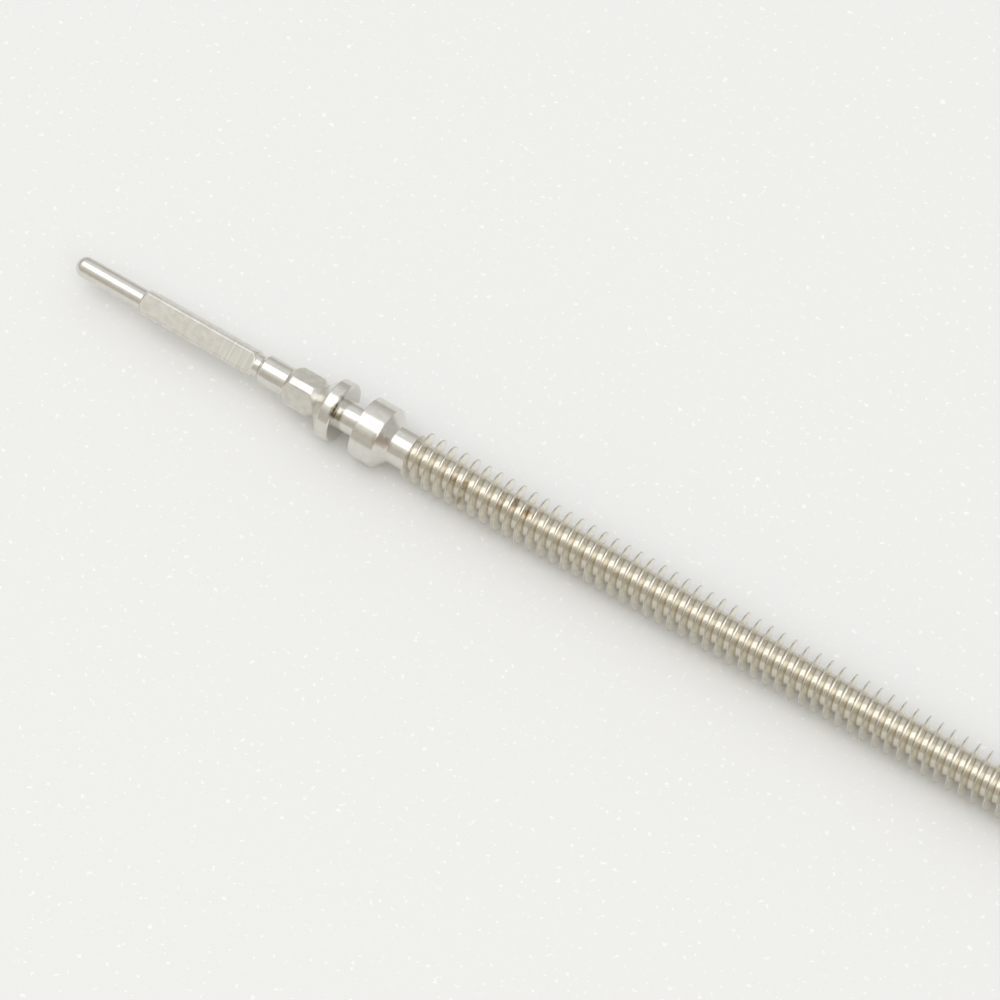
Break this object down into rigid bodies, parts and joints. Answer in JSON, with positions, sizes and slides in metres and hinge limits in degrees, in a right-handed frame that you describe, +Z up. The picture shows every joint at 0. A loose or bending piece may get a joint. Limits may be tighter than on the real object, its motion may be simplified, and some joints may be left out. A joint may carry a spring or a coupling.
{
  "type": "watch stem",
  "caption": "Winding stem of a watch: slim pivot, drive squares, journal, lever groove between two collars and a long fine right-hand thread for the crown",
  "frame": {"origin": "On the stem's axis, in the middle of the rear collar's cylindrical rim, which is the main bearing", "axes": "+X runs along the stem's axis from the pilot pivot to the threaded outer end, +Z is up, +Y completes a right-handed frame"},
  "size_m": [0.0239, 0.001, 0.001],
  "materials": {
    "turned_steel": "bright turned steel with fine lathe marks",
    "milled_steel": "milled steel flats with faint cross marks",
    "threaded_steel": "bright cut thread, darker in its roots"
  },
  "bodies": {
    "root": {"pilot_pivot": "turned_steel", "clutch_square": "milled_steel", "square_undercut": "turned_steel", "pinion_journal": "turned_steel", "shoulder_square": "milled_steel", "front_collar": "turned_steel", "lever_groove_core": "turned_steel", "rear_collar": "turned_steel", "thread_relief": "turned_steel", "threaded_shank": "threaded_steel"}
  },
  "joints": []
}
